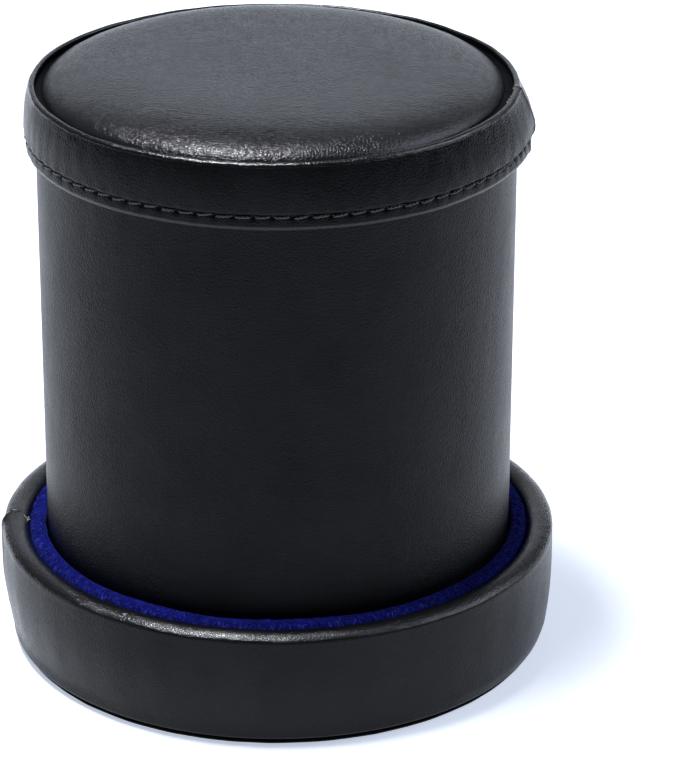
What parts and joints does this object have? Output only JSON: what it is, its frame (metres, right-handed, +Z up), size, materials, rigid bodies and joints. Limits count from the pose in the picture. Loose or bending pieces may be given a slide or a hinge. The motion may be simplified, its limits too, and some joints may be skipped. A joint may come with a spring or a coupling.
{
  "type": "leather dice cup",
  "caption": "Straight round leather dice cup standing mouth down in a padded tray lined with blue flannel, with a padded slip-over lid on its closed end.",
  "frame": {"origin": "centre of the tray's underside, on the surface it stands on", "axes": "+Z up along the cup's axis, from the tray to the lid; -Y faces the viewer"},
  "size_m": [0.0952, 0.0952, 0.1028],
  "materials": {
    "tray_black_leather": "satin pebbled leather",
    "cup_black_leather": "satin fine-grain leather",
    "lid_black_leather": "soft satin leather",
    "black_thread": "waxed thread",
    "blue_flannel": "brushed flannel",
    "grey_card": "uncoated card",
    "base_board": "pressed board",
    "white_foam": "soft foam",
    "sole_rubber": "matt rubber"
  },
  "bodies": {
    "tray": {"tray_sole": "sole_rubber", "tray_base_board": "base_board", "tray_hoop": "grey_card", "tray_padding": "white_foam", "tray_leather": "tray_black_leather", "tray_liner_hoop": "grey_card", "tray_liner_flannel": "blue_flannel", "tray_floor_card": "grey_card", "tray_floor_foam": "white_foam", "tray_floor_flannel": "blue_flannel"},
    "cup": {"cup_tube": "grey_card", "cup_leather": "cup_black_leather", "cup_lining": "blue_flannel", "cup_partition": "base_board", "cup_end_foam": "white_foam", "cup_end_flannel": "blue_flannel", "compartment_floor": "blue_flannel", "compartment_lining": "blue_flannel"},
    "lid": {"lid_board": "base_board", "lid_hoop": "grey_card", "lid_rim_padding": "white_foam", "lid_band": "lid_black_leather", "lid_stitching": "black_thread", "lid_pad_foam": "white_foam", "lid_pad_leather": "lid_black_leather", "lid_lining": "blue_flannel"}
  },
  "joints": [
    {"name": "cup_lift", "type": "slide", "parent": "tray", "child": "cup", "axis": [0, 0, 1], "range_m": [0, 0.12]},
    {"name": "lid_lift", "type": "slide", "parent": "cup", "child": "lid", "axis": [0, 0, 1], "range_m": [0, 0.06]}
  ]
}
